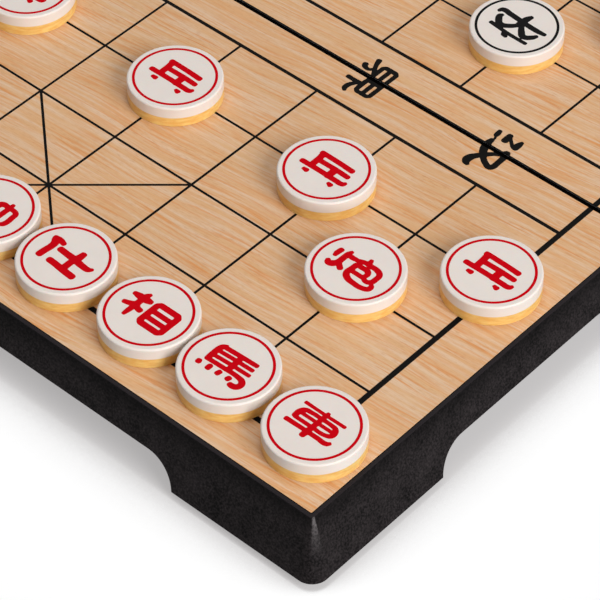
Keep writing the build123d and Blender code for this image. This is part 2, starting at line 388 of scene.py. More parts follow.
def makeOakFilm():
    material, tree, shader, place = startMaterial(
        "oakPrintedFilm", Specular_IOR_Level=oak["specular"])
    turned = addNode(tree, "ShaderNodeMapping", {"Rotation": (0, 0, radians(oak["slant"]))})
    tree.links.new(place, turned.inputs["Vector"])
    warp = addStretchedNoise(tree, turned.outputs["Vector"], oak["warpScale"], 1.0)
    wander = addNode(tree, "ShaderNodeCombineXYZ")
    tree.links.new(addRange(tree, warp, 0.0, 1.0, -oak["warpReach"], oak["warpReach"]),
                   wander.inputs["Y"])
    grain = addNode(tree, "ShaderNodeVectorMath", operation="ADD")
    tree.links.new(turned.outputs["Vector"], grain.inputs[0])
    tree.links.new(wander.outputs["Vector"], grain.inputs[1])
    along = grain.outputs["Vector"]

    def streaks(length, width, detail=2.0):
        return addStretchedNoise(tree, along, (1 / length, 1 / width, 0), detail)

    drift = addRange(tree, streaks(oak["driftLength"], oak["driftWidth"]), *oak["driftRange"])
    pale = addRange(tree, streaks(oak["paleLength"], oak["paleWidth"]), *oak["paleRange"])
    gatherWidth = oak["paleWidth"] * oak["gatherSpread"]
    gather = addRange(tree, streaks(oak["paleLength"], gatherWidth, 1.0),
                      *oak["gatherRange"], oak["gatherLeast"], 1.0)
    orange = addRange(tree, streaks(oak["streakLength"], oak["streakWidth"]), *oak["streakRange"])
    pore = addRange(tree, streaks(oak["poreLength"], oak["poreWidth"]), *oak["poreRange"])
    hairWidth = oak["poreWidth"] * oak["hairSpread"]
    hair = addRange(tree, streaks(oak["streakLength"], hairWidth), *oak["hairRange"], -1.0, 1.0)

    color = oak["base"]
    poreAmount = addMath(tree, "MULTIPLY", gather, oak["poreShare"])
    for mask, amount, layer in (
            (drift, oak["driftShare"], "orange"), (pale, oak["paleShare"], "pale"),
            (orange, gather, "orange"), (pore, poreAmount, "pore")):
        color = addBlend(tree, addMath(tree, "MULTIPLY", mask, amount), color, oak[layer])
    shade = addNode(tree, "ShaderNodeHueSaturation")
    tree.links.new(color, shade.inputs["Color"])
    lighter = addMath(tree, "MULTIPLY", hair, oak["hairShade"])
    tree.links.new(addMath(tree, "ADD", lighter, 1.0), shade.inputs["Value"])
    satin = useGroup(tree, mottleGroup, place, {
        "Color": shade.outputs["Color"], "Patch Size": oak["patch"],
        "Amount": oak["patchAmount"], "Roughness": oak["roughness"]})
    upright = addMath(tree, "ABSOLUTE", splitNormal(tree)["Z"])
    flat = addRange(tree, upright, *oak["edgeTurn"])
    # painted shade: the film's upright faces, its cut edges, are coloured near black
    useFinish(tree, shader, addBlend(tree, flat, oak["edge"], satin.outputs["Color"]), satin)
    addBump(tree, shader, hair, *oak["bump"])
    return material


dress(["red_side_playing_film", "black_side_playing_film"], makeOakFilm())
print("playing film dressed")


# black mouldings

moulding = {
    "shellDark": tone(3, 3, 3),
    "shellLight": tone(52, 47, 48),
    # painted light: the paler grey of the lip's upward faces, as if lit from above
    "shellLip": tone(36, 32, 34),
    # painted highlight: the pale streak down each outer corner of the shell
    "shellRubbed": tone(112, 107, 108),
    "trayDark": tone(30, 29, 30),
    "trayLight": tone(56, 54, 55),
    "footDark": tone(30, 30, 31),
    "footLight": tone(44, 44, 45),
    "footGrain": 0.0003,
    "grain": 0.0007,
    "trayGrain": 1.6,  # beside the shell's
    "specular": 0.05,
    "bump": 0.35,
    "upward": (0.45, 0.9),  # how upright the surface is, from wall to lip; the lip's upward faces get painted light
    "topHalf": 0.14645,  # half the width over the lip
    "cornerRadius": (0.0012, 0.0055),  # of the outer corners, at the top and at the foot
    "ridge": (("X", 0.927), ("Y", 0.375)),  # the way that the painted highlight line faces
    "ridgeRange": (0.935, 1.0),
    "rubbed": (0.007, 0.0225),  # heights at which the painted highlight starts and is strongest
    "rubbedCurve": 2.2,
    "rubbedGrain": (0.38, 0.62, 0.25, 1.0),
    # painted shade: how dark the wall gets just below the lip
    "shade": 0.6,
    "shadeRange": (0.0165, 0.0225),  # heights of the painted shade on the wall below the lip
}


def makeMoulding(name, dark, light, grain, roughness, depth, paintedLightAndShade=None):
    material, tree, shader, place = startMaterial(name, Specular_IOR_Level=moulding["specular"])
    grained = useGroup(tree, speckleGroup, place, {
        "Grain Size": grain, "Dark": dark, "Light": light, "Roughness": roughness})
    color = grained.outputs["Color"]
    # painted light and shade, where given, go over the grain
    if paintedLightAndShade:
        color = paintedLightAndShade(tree, place, color, grained.outputs["Height"])
    useFinish(tree, shader, color, grained)
    addBump(tree, shader, grained.outputs["Height"], moulding["bump"], depth)
    return material


# painted light and shade on the shell: a paler lip, a painted highlight down the outer corners, and
# painted shade on the wall below the lip
def paintShellLightAndShade(tree, place, color, grain):
    low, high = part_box("red_side_shell")
    split = splitVector(tree, place)
    height = split["Z"]
    upward = addRange(tree, splitNormal(tree)["Z"], *moulding["upward"])
    # painted shade: the wall darkens towards the lip, as in the shadow under it
    paintedShadeUnderLip = addRange(tree, height, *moulding["shadeRange"], 0.0, moulding["shade"])
    color = addBlend(tree, paintedShadeUnderLip, color, (0.0, 0.0, 0.0, 1.0))
    # painted light: the lip's upward faces take a paler grey than the shaded wall below
    color = addBlend(tree, upward, color, moulding["shellLip"])

    # an outer corner is an arc: across goes from its middle to the walls on either side
    topRadius, footRadius = moulding["cornerRadius"]
    radius = addRange(tree, height, low.z, high.z, footRadius, topRadius)
    wall = addRange(tree, height, low.z, high.z, high.x, moulding["topHalf"])
    middle = addMath(tree, "SUBTRACT", wall, radius)
    across = []
    for axis, share in moulding["ridge"]:
        beyond = addMath(tree, "SUBTRACT", addMath(tree, "ABSOLUTE", split[axis]), middle)
        across.append(addMath(tree, "MULTIPLY", addMath(tree, "DIVIDE", beyond, radius), share))
    ridge = addRange(tree, addMath(tree, "ADD", *across), *moulding["ridgeRange"])
    fade = addMath(tree, "POWER", addRange(tree, height, *moulding["rubbed"]),
                   moulding["rubbedCurve"])
    # painted highlight down each outer corner, broken up by the grain and fading out towards the
    # foot
    paintedHighlight = addMath(tree, "MULTIPLY", addMath(tree, "MULTIPLY", ridge, fade),
                   addRange(tree, grain, *moulding["rubbedGrain"]))
    return addBlend(tree, paintedHighlight, color, moulding["shellRubbed"])


shellPlastic = makeMoulding("grainedBlackShell", moulding["shellDark"], moulding["shellLight"],
                            moulding["grain"], 0.46, 0.00006, paintShellLightAndShade)
trayPlastic = makeMoulding("plainBlackTray", moulding["trayDark"], moulding["trayLight"],
                           moulding["grain"] * moulding["trayGrain"], 0.5, 0.00004)
footRubber = makeMoulding("softFootRubber", moulding["footDark"], moulding["footLight"],
                          moulding["footGrain"], 0.85, 0.00003)
dress(["red_side_shell", "black_side_shell"], shellPlastic)
dress(["red_side_storage_tray", "black_side_storage_tray"], trayPlastic)
dress(["red_side_feet", "black_side_feet"], footRubber)
print("shells, trays and feet dressed")


# metal

metal = {
    "bump": (0.15, 0.00002),  # strength and depth
    "kinds": {  # colour, roughness and the pieces made of it
        "zincedSteelSheet": (tone(176, 178, 182), 0.38,
                             ["red_side_steel_plate", "black_side_steel_plate"]),
        "hingeWire": (tone(190, 190, 192), 0.22, ["left_hinge_pin", "right_hinge_pin"]),
        "blackedScrew": (tone(70, 70, 74), 0.35,
                         ["red_side_tray_screws", "black_side_tray_screws"]),
        "nickelledMagnet": (tone(198, 196, 192), 0.2,
                            ["red_side_magnets", "black_side_magnets"]),
    },
}


def makeMetal(name, color, roughness):
    material, tree, shader, place = startMaterial(name, Metallic=1.0)
    rolled = useGroup(tree, brushedGroup, place, {"Color": color, "Roughness": roughness})
    useFinish(tree, shader, rolled.outputs["Color"], rolled)
    addBump(tree, shader, rolled.outputs["Height"], *metal["bump"])
    return material


for kind, (color, roughness, pieces) in metal["kinds"].items():
    dress(pieces, makeMetal(kind, color, roughness))
print("metal dressed")


# playing pieces: a milky cap on an amber base

man = {
    "cap": tone(229, 219, 211),
    "amberPale": tone(237, 199, 123),
    "amberDeep": tone(227, 175, 94),
    "joint": 0.02675,  # height where the cap meets the base
    "jointBlend": 0.0001,
    "swirlScale": (260, 260, 1100),
    "swirlDetail": 3.0,
    "swirlRoughness": 0.6,
    "swirlRange": (0.36, 0.64),
    "patch": 0.006,
    "patchAmount": 0.015,
    "roughness": 0.3,
    "specular": 0.25,
    "milkiness": 0.08,
    "milkDepth": 0.0015,
    "bump": (0.03, 0.0001),  # strength and depth
}
menNames = sorted(name for name in nodes if name.split("_")[1] in (
    "chariot", "horse", "elephant", "advisor", "general", "cannon", "soldier"))


def makeMan():
    material, tree, shader, place = startMaterial(
        "milkyCapAmberBase", Specular_IOR_Level=man["specular"],
        Subsurface_Weight=man["milkiness"], Subsurface_Scale=man["milkDepth"])
    isCap = addRange(tree, splitVector(tree, place)["Z"], man["joint"] - man["jointBlend"],
                     man["joint"] + man["jointBlend"])
    swirl = addStretchedNoise(tree, place, man["swirlScale"], man["swirlDetail"],
                              man["swirlRoughness"])
    amber = addBlend(tree, addRange(tree, swirl, *man["swirlRange"]),
                     man["amberPale"], man["amberDeep"])
    cast = useGroup(tree, mottleGroup, place, {
        "Color": addBlend(tree, isCap, amber, man["cap"]), "Patch Size": man["patch"],
        "Amount": man["patchAmount"], "Roughness": man["roughness"]})
    useFinish(tree, shader, cast.outputs["Color"], cast)
    addBump(tree, shader, cast.outputs["Height"], *man["bump"])
    return material


dress(menNames, makeMan())
print("men dressed:", len(menNames))


# inks

inkLook = {
    "red": tone(197, 0, 15),
    "black": tone(18, 17, 17),
    "board": tone(12, 11, 10),
    "roughness": 0.6,
    "specular": 0.04,
    "patch": 0.0012,
    "patchAmount": 0.07,
    "bump": (0.05, 0.00002),  # strength and depth
}


def makeInk(name, color):
    material, tree, shader, place = startMaterial(
        name, Specular_IOR_Level=inkLook["specular"])
    laid = useGroup(tree, mottleGroup, place, {
        "Color": color, "Patch Size": inkLook["patch"], "Amount": inkLook["patchAmount"],
        "Roughness": inkLook["roughness"]})
    useFinish(tree, shader, laid.outputs["Color"], laid)
    addBump(tree, shader, laid.outputs["Height"], *inkLook["bump"])
    return material


inks = {
    "red": makeInk("redInk", inkLook["red"]),
    "black": makeInk("blackInk", inkLook["black"]),
}
boardInk = makeInk("boardLineInk", inkLook["board"])


# printed lines of the board

boardPrint = {  # millimetres
    "filePitch": 32.0,
    "outerFile": 4,
    "rankPitch": 28.45,
    "backRank": 4,
    "bank": 15.2,  # from the seam to the river bank
    "shift": -0.35,  # how far off the seam's middle the print lies
    "lineWidth": 0.86,
    "bankWidth": 1.3,
    "borderWidth": 1.83,
    "palaceFile": 1,
    "palaceRank": 2,
}


# rectangles (x0, x1, y0, y1), with y counted outwards from the seam
def printedLines(side, seamEdge):
    edgeX = boardPrint["outerFile"] * boardPrint["filePitch"]
    shift = side * boardPrint["shift"]
    rankY = [boardPrint["bank"] + shift + rank * boardPrint["rankPitch"]
             for rank in range(boardPrint["backRank"] + 1)]
    lines = []
    for file in range(-boardPrint["outerFile"], boardPrint["outerFile"] + 1):
        border = abs(file) == boardPrint["outerFile"]
        half = boardPrint["borderWidth" if border else "lineWidth"] / 2
        x = file * boardPrint["filePitch"]
        lines.append((x - half, x + half, seamEdge if border else rankY[0], rankY[-1]))
    for rank, y in enumerate(rankY):
        width = "bankWidth" if rank == 0 else "borderWidth" if y == rankY[-1] else "lineWidth"
        half = boardPrint[width] / 2
        reach = edgeX + boardPrint["borderWidth"] / 2
        lines.append((-reach, reach, y - half, y + half))
    return lines, rankY


def makeBoardLines(name, side, body):
    seamEdge, filmTop = filmOf(body)
    seamEdge /= mm
    lines, rankY = printedLines(side, seamEdge)
    top = max(line[3] for line in lines)
    reach = max(line[1] for line in lines)
    bpy.ops.mesh.primitive_plane_add(size=1, location=(0, (seamEdge + top) / 2, 0))
    sheet = bpy.context.object
    sheet.scale = (reach * 2, top - seamEdge, 1)
    bpy.ops.object.transform_apply(location=True, rotation=False, scale=True)
    startEdit(sheet)
    for x in sorted({value for line in lines for value in line[:2]}):
        cutSheet((x, 0, 0), (1, 0, 0))
    for y in sorted({value for line in lines for value in line[2:]}):
        cutSheet((0, y, 0), (0, 1, 0))
    palaceX = boardPrint["palaceFile"] * boardPrint["filePitch"]
    palaceY = rankY[boardPrint["palaceRank"]]
    middleY = (palaceY + rankY[-1]) / 2
    length = hypot(palaceX, rankY[-1] - middleY)
    half = boardPrint["lineWidth"] / 2
    diagonals = [Vector((-(rankY[-1] - middleY) * turn, palaceX, 0)) / length for turn in (1, -1)]
    for normal in diagonals:
        for offset in (-half, half):
            cutSheet(Vector((0, middleY, 0)) + normal * offset, normal)
    endEdit()

    def inked(x, y):
        if any(x0 < x < x1 and y0 < y < y1 for x0, x1, y0, y1 in lines):
            return True
        inPalace = abs(x) < palaceX and palaceY < y < rankY[-1]
        return inPalace and any(abs(normal.dot(Vector((x, y - middleY, 0)))) < half
                                for normal in diagonals)

    for face in sheet.data.polygons:
        face.select = not inked(face.center.x, face.center.y)
    bpy.context.view_layer.objects.active = sheet
    sheet.select_set(True)
    bpy.ops.object.mode_set(mode="EDIT")
    bpy.ops.mesh.delete(type="FACE")
    raiseInk()
    endEdit()
    place = printPlace(0, 0, filmTop, 180 if side < 0 else 0)
    placeCopy(sheet, name, place, boardInk, body)
    removePiece(sheet)


makeBoardLines("red_side_lines", -1, "red_half")
makeBoardLines("black_side_lines", 1, "black_half")
print("board lines printed")


# brush-drawn characters
# Each stroke is a list of (x, y, half width) in millimetres, from the middle of the character.

# straight sides with cut corners between them
def boxStrokes(left, right, bottom, top, half, corner=0.8):
    corners = [(left, top - corner), (left + corner, top), (right - corner, top),
               (right, top - corner), (right, bottom + corner), (right - corner, bottom),
               (left + corner, bottom), (left, bottom + corner)]
    ends = corners[1:] + corners[:1]
    return [[(*start, half), (*end, half)] for start, end in zip(corners, ends)]


wrapStrokes = [  # the right-hand part that both cannons share
    [(1.4, 5.4, 0.45), (1.6, 4.5, 0.65), (1.5, 3.7, 0.7)],
    [(-1.6, 2.7, 0.6), (0.4, 3.4, 0.7), (3.0, 3.45, 0.75), (5.4, 3.3, 0.8), (7.0, 2.3, 0.75),
     (7.3, 0.2, 0.75), (7.0, -1.5, 0.8), (5.9, -2.2, 0.7), (4.6, -1.8, 0.6), (4.1, -1.0, 0.5)],
    [(-0.8, 1.3, 0.7), (1.0, 1.3, 0.75), (3.4, 1.2, 0.8), (4.2, 0.3, 0.7), (4.1, -1.2, 0.65)],
    [(-0.8, 1.1, 0.75), (-0.8, -1.0, 0.85), (-0.9, -3.0, 0.85), (0.5, -4.5, 0.85),
     (3.5, -5.1, 0.75), (6.5, -5.0, 0.75), (8.2, -4.1, 0.8), (8.3, -2.9, 0.7), (7.6, -2.0, 0.35)],
    [(-0.5, -1.6, 0.65), (4.0, -1.65, 0.65)],
]
characters = {
    "redSoldier": [
        [(-5.6, 4.5, 0.8), (0.1, 4.45, 0.76), (6.5, 4.15, 0.82)],
        [(-4.9, 4.0, 0.94), (-4.7, 1.7, 0.88), (-4.6, -1.9, 0.94)],
        [(-4.4, 1.4, 0.76), (2.1, 1.5, 0.8), (7.2, 1.3, 0.74)],
        [(2.3, 1.3, 1.1), (2.3, -0.6, 1.06), (2.3, -2.1, 1.08)],
        [(-8.0, -2.0, 0.78), (0.1, -1.95, 0.78), (5.6, -2.1, 0.8), (8.0, -1.9, 0.78),
         (8.5, -1.1, 0.46)],
        [(-5.4, -4.32, 0.5), (-4.1, -4.38, 0.72)],
        [(4.4, -4.3, 0.42), (5.5, -4.62, 0.76)],
    ],
    "chariot": [
        [(-7.4, 4.7, 0.43), (-3.0, 4.62, 0.38), (0.0, 4.62, 0.39), (3.5, 4.68, 0.39),
         (6.9, 4.7, 0.41)],
        [(0.2, 5.6, 0.43), (0.2, 4.6, 0.63), (0.15, 2.0, 0.65), (0.1, -1.5, 0.73),
         (0.0, -3.4, 0.89),
         (-0.1, -5.1, 0.79)],
        [(-6.5, -1.0, 0.73), (-6.5, 0.9, 0.81), (-5.7, 2.35, 0.69), (-3.6, 2.8, 0.54),
         (0.0, 2.85, 0.51),
         (3.6, 2.85, 0.52), (5.5, 2.4, 0.63), (6.3, 0.9, 0.75), (6.1, -0.3, 0.69),
         (4.8, -1.05, 0.53),
         (0.0, -1.2, 0.49), (-6.2, -1.2, 0.51)],
        [(-6.2, 0.95, 0.44), (6.2, 0.95, 0.44)],
        [(-7.6, -3.35, 0.63), (-2.0, -3.25, 0.57), (4.0, -3.25, 0.61), (7.1, -3.2, 0.67),
         (7.8, -2.5, 0.45)],
    ],
    "horse": [
        [(-5.3, 5.3, 0.45), (-6.3, 4.1, 0.85), (-6.6, 1.0, 0.85), (-6.5, -1.8, 0.75)],
        [(-6.0, 4.6, 0.65), (0.0, 4.9, 0.65), (6.1, 5.15, 0.58)],
        [(-6.0, 2.5, 0.52), (0.0, 2.85, 0.55), (6.3, 3.0, 0.52)],
        [(-6.0, 0.4, 0.52), (0.0, 0.75, 0.55), (6.9, 0.9, 0.5)],
        [(-6.2, -1.7, 0.62), (0.0, -1.5, 0.6), (4.6, -1.45, 0.65), (6.8, -2.0, 0.8),
         (7.55, -3.2, 0.88),
         (7.0, -4.6, 0.88), (5.7, -5.05, 0.82), (4.9, -4.95, 0.7)],
        [(0.7, 4.9, 0.75), (0.8, 2.0, 0.8), (0.95, -1.3, 0.8)],
        [(-7.7, -3.8, 0.7), (-7.6, -4.4, 0.78)],
        [(-3.9, -3.4, 0.72), (-3.9, -4.5, 0.75)],
        [(-0.3, -3.3, 0.68), (-0.5, -4.3, 0.7)],
        [(3.3, -3.3, 0.7), (3.1, -4.0, 0.72)],
    ],
    "redElephant": [
        [(-8.4, 3.0, 0.6), (-6.5, 3.05, 1.05), (-3.6, 3.1, 1.1), (-2.3, 3.2, 0.75)],
        [(-4.3, 5.4, 0.42), (-4.9, 4.0, 0.95), (-5.0, 2.0, 0.9), (-5.0, 0.0, 0.9),
         (-5.1, -3.0, 0.75),
         (-5.2, -5.1, 0.45)],
        [(-5.0, 0.3, 0.7), (-6.6, -0.8, 0.8), (-8.5, -1.4, 0.65)],
        [(-4.9, 0.3, 0.7), (-3.7, -0.9, 0.8), (-2.4, -1.2, 0.8)],
        *boxStrokes(0.05, 8.1, -4.4, 4.25, 0.88),
        [(0.4, 1.15, 0.75), (7.9, 1.15, 0.75)],
        [(0.4, -1.6, 0.75), (7.9, -1.6, 0.75)],
    ],
    "redAdvisor": [
        [(-8.4, 4.1, 0.75), (-6.5, 4.2, 0.85), (-4.5, 3.7, 0.68)],
        [(-7.9, 3.6, 0.9), (-6.9, 2.4, 1.1), (-6.7, 1.0, 1.0), (-7.0, -2.0, 1.0),
         (-7.1, -3.9, 1.0)],
        [(-3.8, 1.6, 0.92), (-1.0, 1.4, 0.95), (2.5, 1.2, 1.1), (6.0, 0.75, 0.92), (8.2, 0.8, 0.85),
         (9.2, 1.6, 0.42)],
        [(2.9, 4.4, 0.9), (2.8, 2.5, 1.1), (2.3, 0.0, 1.0), (2.3, -3.2, 1.0)],
        [(-3.2, -3.6, 0.95), (0.0, -3.8, 0.95), (3.0, -4.1, 1.0), (6.7, -4.35, 1.0)],
    ],
    "redCannon": [
        [(-8.1, 3.0, 0.75), (-8.3, 1.2, 0.75), (-8.2, 0.1, 0.52)],
        [(-5.1, 4.3, 0.42), (-5.4, 3.0, 0.8), (-5.5, 0.0, 0.85), (-5.6, -1.5, 0.9),
         (-6.4, -2.9, 1.05),
         (-7.7, -3.3, 1.0), (-8.5, -2.6, 0.6)],
        [(-5.2, 2.7, 0.7), (-3.6, 2.55, 0.75), (-1.8, 2.7, 0.65)],
        [(-5.0, -1.5, 0.55), (-4.0, -2.6, 0.78), (-3.4, -3.1, 0.75)],
    ] + wrapStrokes,
    "redGeneral": [
        [(-5.2, 5.8, 0.44), (-5.8, 4.7, 0.74)],
        [(-7.4, 3.9, 0.79), (-7.4, -4.9, 0.79)],
        [(-7.2, 4.1, 0.74), (-3.4, 4.0, 0.74), (-2.7, 2.9, 0.74), (-2.9, 1.2, 0.69),
         (-7.0, 1.0, 0.64)],
        [(-7.2, -0.9, 0.69), (-3.0, -0.9, 0.74), (-2.3, -2.2, 0.79), (-2.6, -4.2, 0.74),
         (-7.1, -4.6, 0.74)],
        [(0.9, -2.6, 0.79), (0.95, 2.4, 0.94), (1.5, 3.7, 0.94), (4.3, 3.9, 0.66),
         (6.6, 3.85, 0.68),
         (7.5, 3.3, 0.72), (7.75, 1.8, 0.76), (7.7, -1.8, 0.8), (6.9, -2.8, 0.64)],
        [(4.3, 5.6, 0.46), (4.35, 4.0, 0.74), (4.3, 0.0, 0.79), (4.2, -5.2, 0.69)],
    ],
    "blackSoldier": [
        [(-0.7, 6.5, 0.42), (0.2, 5.9, 0.95), (0.6, 5.2, 0.95)],
        [(-7.4, 5.0, 0.5), (0.0, 4.8, 0.52), (7.2, 4.0, 0.58)],
        [(-7.9, 0.0, 0.5), (-7.2, 1.3, 0.8), (-4.8, 2.9, 0.95), (-3.0, 1.5, 0.9),
         (-1.3, -0.6, 0.72),
         (-0.3, -1.8, 0.7)],
        [(-0.3, -0.4, 0.65), (1.6, 1.6, 0.8), (4.3, 2.9, 0.95), (6.2, 1.4, 0.95), (7.0, -0.2, 0.85),
         (6.7, -1.1, 0.45)],
        [(-9.3, -2.2, 0.55), (-6.0, -2.05, 0.82), (0.0, -2.5, 0.8), (5.0, -3.0, 0.85),
         (8.2, -3.1, 0.85),
         (8.9, -1.9, 0.42)],
        [(0.0, -0.6, 0.75), (-0.2, -2.5, 1.05), (-0.5, -4.5, 1.0), (-1.0, -6.1, 0.6)],
    ],
    "blackElephant": [
        [(-1.0, 6.3, 0.42), (-2.2, 4.9, 0.75), (-4.6, 3.5, 0.6)],
        [(-1.8, 5.2, 0.55), (2.6, 5.1, 0.6), (3.0, 4.2, 0.5), (1.9, 3.5, 0.45)],
        *boxStrokes(-5.6, 5.6, 1.0, 3.3, 0.6, 0.6),
        [(0.0, 3.2, 0.6), (0.0, 1.0, 0.6)],
        [(0.6, 0.7, 0.6), (-2.6, -0.7, 0.65), (-6.9, -1.7, 0.55)],
        [(-1.2, 0.0, 0.6), (1.1, -1.4, 0.8), (1.7, -3.3, 0.9), (0.8, -5.2, 0.85),
         (-1.0, -5.7, 0.6)],
        [(0.9, -1.7, 0.55), (-2.6, -2.9, 0.65), (-6.9, -3.7, 0.5)],
        [(1.4, -3.2, 0.55), (-2.0, -4.5, 0.65), (-5.8, -5.5, 0.5)],
        [(6.0, 0.2, 0.55), (4.2, -0.9, 0.65), (1.9, -1.6, 0.55)],
        [(2.0, -1.5, 0.6), (4.5, -3.6, 0.8), (7.9, -4.9, 0.8), (8.8, -4.2, 0.4)],
    ],
    "blackAdvisor": [
        [(-7.6, 1.2, 0.85), (-3.0, 1.2, 0.85), (3.0, 1.0, 0.9), (6.8, 0.9, 0.9), (8.0, 1.8, 0.42)],
        [(0.1, 5.3, 0.8), (0.1, 3.0, 1.0), (-0.1, 0.0, 0.95), (-0.1, -4.0, 0.95)],
        [(-5.4, -4.3, 0.85), (0.0, -4.4, 0.85), (5.6, -4.4, 0.9)],
    ],
    "blackCannon": [
        [(-9.0, 4.2, 0.65), (-6.4, 4.3, 0.7), (-3.2, 4.5, 0.65)],
        [(-6.3, 4.1, 0.65), (-7.0, 1.6, 0.7), (-9.0, -1.2, 0.5)],
        *boxStrokes(-7.3, -3.8, -4.2, 0.6, 0.65, 0.6),
    ] + wrapStrokes,
    "blackGeneral": [
        [(-7.9, 4.9, 0.6), (-7.8, 1.9, 0.65)],
        [(-8.6, 1.5, 0.6), (-4.4, 1.6, 0.6)],
        [(-8.4, -1.2, 0.6), (-4.4, -1.1, 0.6)],
        [(-6.9, -1.2, 0.6), (-7.5, -3.4, 0.65), (-9.0, -5.1, 0.5)],
        [(-4.2, 5.7, 0.5), (-4.1, 3.5, 0.8), (-4.2, -5.4, 0.65)],
        [(1.7, 5.9, 0.42), (0.2, 4.2, 0.7), (-2.0, 2.6, 0.6)],
        [(1.2, 4.7, 0.55), (5.4, 4.6, 0.65), (5.6, 3.2, 0.7), (2.8, 1.2, 0.6), (-1.6, 0.4, 0.5)],
        [(0.9, 3.3, 0.5), (2.1, 2.6, 0.65)],
        [(-2.0, -1.5, 0.65), (2.5, -1.4, 0.65), (7.4, -1.3, 0.75), (8.4, -0.5, 0.4)],
        [(5.2, 0.7, 0.6), (5.3, -2.6, 0.8), (5.0, -4.7, 0.85), (3.4, -5.2, 0.6)],
        [(0.5, -2.8, 0.55), (1.9, -3.9, 0.75)],
    ],
    "riverChu": [
        [(-7.9, 3.9, 0.6), (-1.9, 3.9, 0.6)],
        [(-4.9, 6.1, 0.42), (-4.9, 4.0, 0.75), (-4.9, 0.7, 0.6)],
        [(-4.9, 3.6, 0.5), (-6.4, 1.9, 0.7), (-8.3, 1.0, 0.55)],
        [(-4.8, 3.4, 0.45), (-2.9, 1.8, 0.7), (-1.6, 1.5, 0.55)],
        [(1.9, 3.9, 0.6), (7.9, 3.9, 0.6)],
        [(4.9, 6.1, 0.42), (4.9, 4.0, 0.75), (4.9, 0.7, 0.6)],
        [(4.8, 3.4, 0.45), (3.3, 1.9, 0.7), (1.7, 1.2, 0.55)],
        [(4.9, 3.4, 0.45), (6.7, 1.8, 0.7), (8.4, 1.3, 0.55)],
        [(-6.0, -0.7, 0.65), (0.0, -0.7, 0.6), (5.6, -0.7, 0.7), (5.2, -2.0, 0.45)],
        [(0.2, -0.8, 0.65), (0.2, -5.0, 0.7)],
        [(0.3, -2.9, 0.6), (4.2, -2.9, 0.6)],
        [(-3.6, -2.2, 0.6), (-4.3, -4.0, 0.75), (-7.6, -6.0, 0.55)],
        [(-4.2, -3.9, 0.5), (-1.0, -5.5, 0.75), (4.0, -6.0, 0.85), (7.8, -5.8, 0.85),
         (9.0, -4.9, 0.42)],
    ],
    "riverHe": [
        [(-8.7, 4.3, 0.65), (-6.7, 3.6, 0.95)],
        [(-9.2, 0.6, 0.65), (-7.2, 0.1, 0.95)],
        [(-8.8, -4.9, 0.85), (-7.6, -3.4, 0.7), (-6.5, -1.9, 0.35)],
        [(-4.5, 4.4, 0.8), (0.0, 4.5, 0.75), (6.0, 4.5, 0.85), (8.8, 4.8, 0.7)],
        [(5.9, 4.3, 0.8), (6.0, 0.0, 0.85), (5.9, -3.8, 0.9), (4.9, -5.3, 0.8), (3.3, -5.2, 0.5)],
        *boxStrokes(-3.0, 2.6, -2.3, 1.6, 0.7, 0.6),
    ],
    "riverHan": [
        [(-8.2, 4.1, 0.42), (-6.6, 3.95, 0.95), (-4.9, 3.85, 1.02)],
        [(-4.9, 2.9, 0.52), (-6.0, 1.6, 0.39), (-7.3, 0.3, 0.37)],
        [(-8.3, -0.65, 0.82), (-7.0, -0.55, 0.99), (-5.4, -0.55, 0.97)],
        [(-7.9, -4.35, 0.57), (-6.5, -4.15, 0.75), (-5.6, -4.1, 0.62)],
        [(-5.3, -3.95, 0.25), (-4.0, -3.3, 0.17)],
        [(-2.1, 3.8, 0.37), (-0.8, 3.9, 1.02), (1.5, 4.1, 0.85), (4.0, 4.15, 0.81),
         (6.1, 4.05, 0.89),
         (6.8, 3.3, 0.91), (6.3, 1.6, 0.82), (5.0, -0.3, 0.83), (3.2, -2.0, 1.07),
         (1.0, -3.2, 1.17),
         (-1.4, -3.75, 1.07), (-3.2, -3.7, 0.69)],
        [(-1.4, 3.5, 0.92), (0.0, 2.4, 0.82), (1.4, 0.7, 0.65), (3.6, -1.3, 0.82),
         (5.6, -2.9, 0.92),
         (7.2, -3.75, 1.19), (8.5, -3.9, 1.27), (9.6, -3.3, 1.02), (10.1, -2.5, 0.52)],
    ],
    "riverJie": [
        *boxStrokes(-6.8, 7.3, 0.15, 5.5, 0.62, 0.75),
        [(-6.75, 4.4, 0.71), (-6.75, 1.1, 0.71)],
        [(-5.5, 2.88, 0.62), (6.6, 2.88, 0.62)],
        [(1.0, 5.5, 0.82), (1.0, 0.1, 0.82)],
        [(2.0, -0.05, 0.57), (5.6, -0.05, 0.57)],
        [(-1.6, -0.2, 0.47), (-3.7, -1.35, 0.52), (-5.6, -2.4, 0.57), (-7.4, -3.0, 0.71),
         (-8.1, -3.2, 0.77)],
        [(-3.8, -2.1, 0.32), (-2.95, -2.7, 0.47), (-2.8, -4.0, 0.59), (-3.3, -5.0, 0.77),
         (-4.1, -5.4, 0.81)],
        [(3.6, -1.0, 0.47), (3.9, -3.0, 0.65), (3.85, -5.7, 0.67)],
        [(3.7, -0.9, 0.42), (5.2, -2.2, 0.62), (7.0, -3.05, 0.77), (8.5, -3.0, 0.75),
         (9.5, -2.35, 0.42)],
    ],
}
brush = {  # millimetres
    "spread": 0.23,  # how far the ink runs out beyond each stroke
    "roundness": 3,  # steps round a quarter of a stroke
    "curveSteps": 6,
    "tip": ((0.5, 0.86), (0.86, 0.5), (0.98, 0.12)),  # (reach, half width) of a round end
    "voxel": 0.11,
    "smoothing": 3,
    "straightness": 2.5,  # degrees; flatter corners along an outline are dissolved
}
ringPrint = {  # millimetres
    "radius": 12.84,
    "width": 0.87,
    "sides": 120,
}


def roundedStroke(stroke):  # adds shrinking points beyond both ends, so that they are round
    def cap(end, inner):
        x, y, half = end
        reach = Vector(end[:2]) - Vector(inner[:2])
        reach.normalize()
        return [(x + reach.x * half * ahead, y + reach.y * half * ahead, half * width)
                for ahead, width in brush["tip"]]
    return cap(stroke[0], stroke[1])[::-1] + list(stroke) + cap(stroke[-1], stroke[-2])


